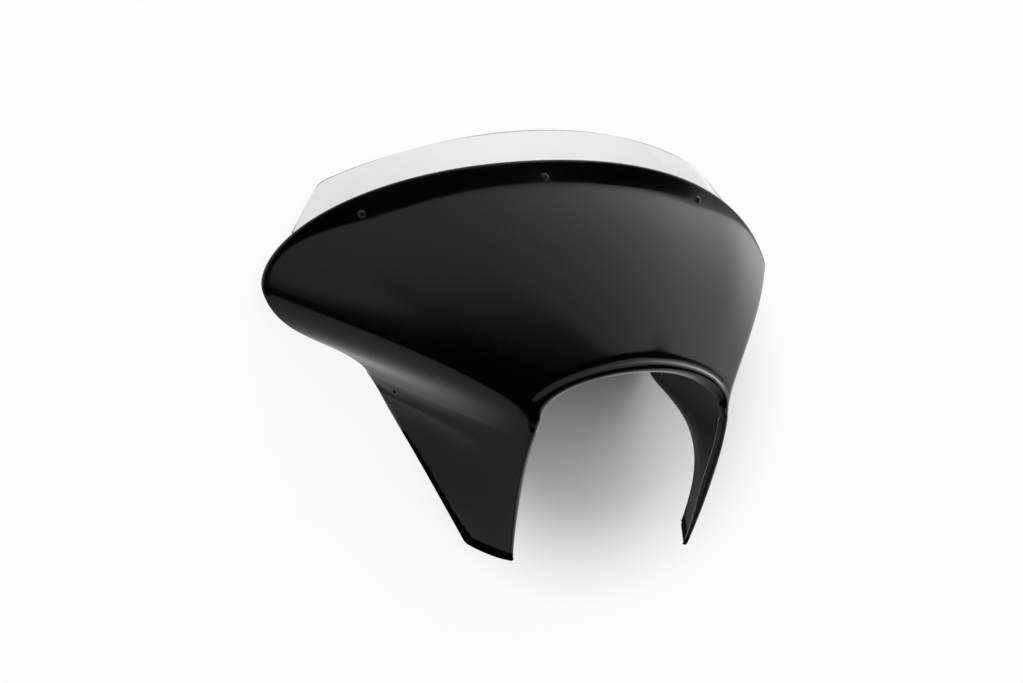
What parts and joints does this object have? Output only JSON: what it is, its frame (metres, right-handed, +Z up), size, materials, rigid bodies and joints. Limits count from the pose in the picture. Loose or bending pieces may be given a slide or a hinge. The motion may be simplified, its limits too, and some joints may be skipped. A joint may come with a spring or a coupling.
{
  "type": "headlight cowl",
  "caption": "Small batwing headlight cowl: a thin gloss black moulded shell with an arched lamp opening and two legs, and a low clear screen screwed behind its top band.",
  "frame": {"origin": "centre of the round headlamp, on the centre plane, level in depth with the two corners of the lamp opening", "axes": "+X to the right as seen from the front, across the cowl; -Y forward, out of the lamp opening; +Z up"},
  "size_m": [0.6008, 0.2205, 0.4032],
  "materials": {
    "shell_black": "gloss",
    "screen_clear": "clear polished plastic",
    "screw_black": "satin black",
    "spacer_rubber": "matt",
    "washer_nylon": "matt",
    "nut_steel": "zinc plated"
  },
  "bodies": {
    "root": {"cowl_shell": "shell_black", "windscreen": "screen_clear", "left_screw": "screw_black", "left_spacer": "spacer_rubber", "left_washer": "washer_nylon", "left_nut": "nut_steel", "centre_screw": "screw_black", "centre_spacer": "spacer_rubber", "centre_washer": "washer_nylon", "centre_nut": "nut_steel", "right_screw": "screw_black", "right_spacer": "spacer_rubber", "right_washer": "washer_nylon", "right_nut": "nut_steel"}
  },
  "joints": []
}
